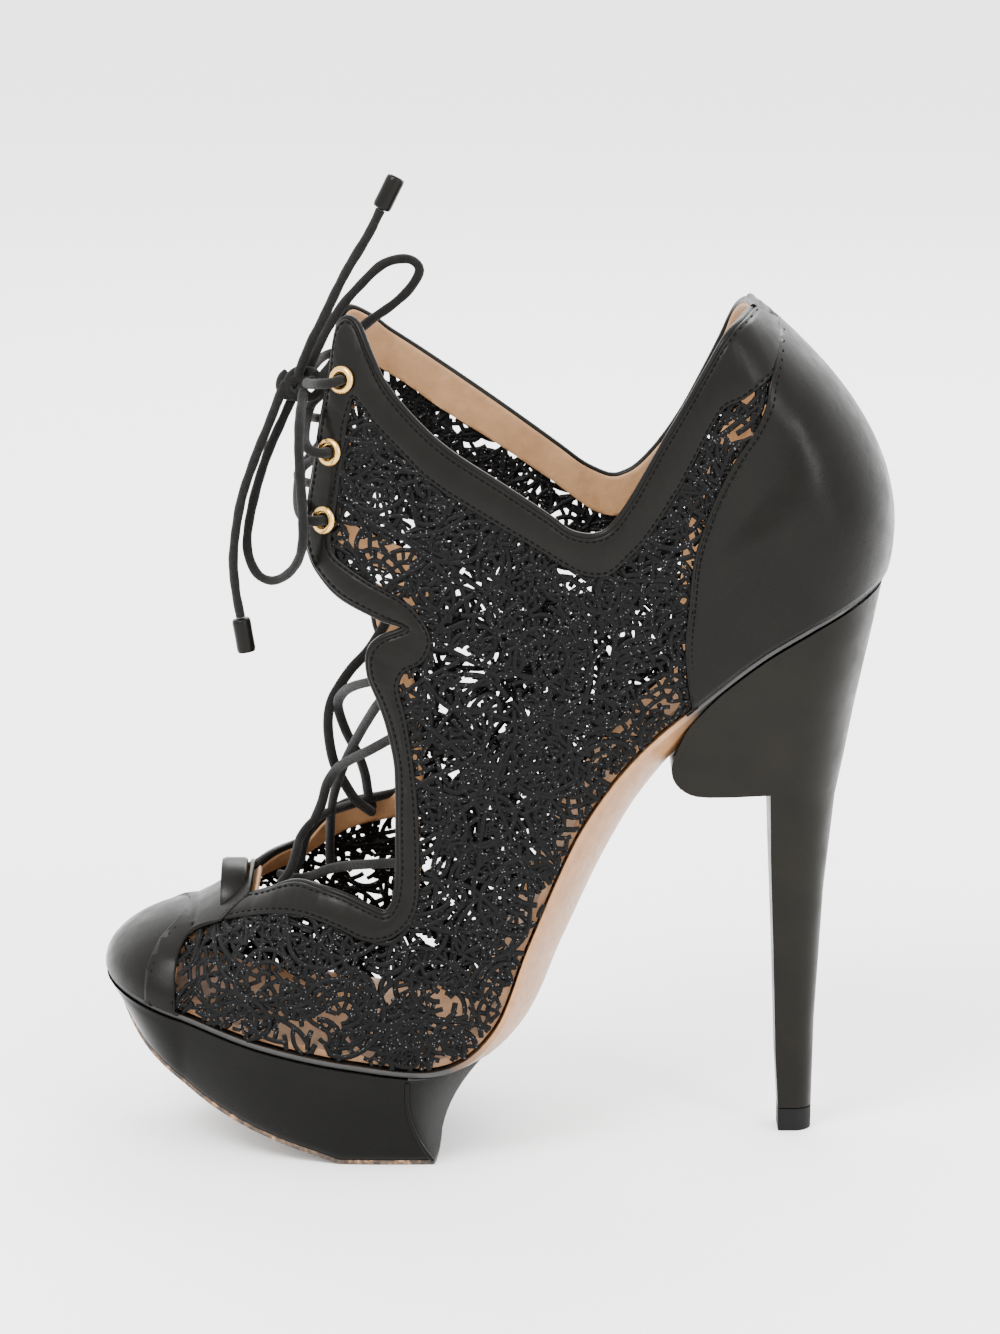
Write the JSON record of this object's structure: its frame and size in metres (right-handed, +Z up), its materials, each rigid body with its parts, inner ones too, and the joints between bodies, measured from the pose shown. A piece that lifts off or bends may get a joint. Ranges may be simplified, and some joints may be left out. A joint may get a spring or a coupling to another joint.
{
  "type": "lace up heel",
  "caption": "Lace-up platform ankle shoe with a tall slim heel, open net upper with smooth trims, laced throat and a tied bow, left foot.",
  "frame": {"origin": "on the floor below the middle of the shoe", "axes": "+X from toe to heel, +Y towards the inner side of the foot, +Z up"},
  "size_m": [0.2032, 0.0795, 0.251],
  "materials": {
    "net": "matte corded net with fine glitter",
    "leather": "smooth satin",
    "tan": "smooth natural",
    "patent": "glossy",
    "heel": "satin",
    "rubber": "matte",
    "gold": "polished",
    "lace": "matte nap"
  },
  "bodies": {
    "root": {"upper": "net", "leather_trim": "leather", "heel_counter": "leather", "toe_cap": "leather", "throat_tab": "leather", "outsole": "tan", "insole": "tan", "platform": "patent", "platform_tread": "tan", "heel_block": "heel", "heel_tip": "rubber", "eyelet_near_1": "gold", "eyelet_near_2": "gold", "eyelet_near_3": "gold", "eyelet_far_1": "gold", "eyelet_far_2": "gold", "eyelet_far_3": "gold", "lace_vamp": "lace", "lace_cross_low": "lace", "lace_cross_high": "lace", "lace_tie_near": "lace", "lace_tie_far": "lace", "lace_knot": "lace", "loop_upper": "lace", "loop_lower": "lace", "end_upper": "lace", "end_lower": "lace", "aglet_upper": "leather", "aglet_lower": "leather"}
  },
  "joints": []
}
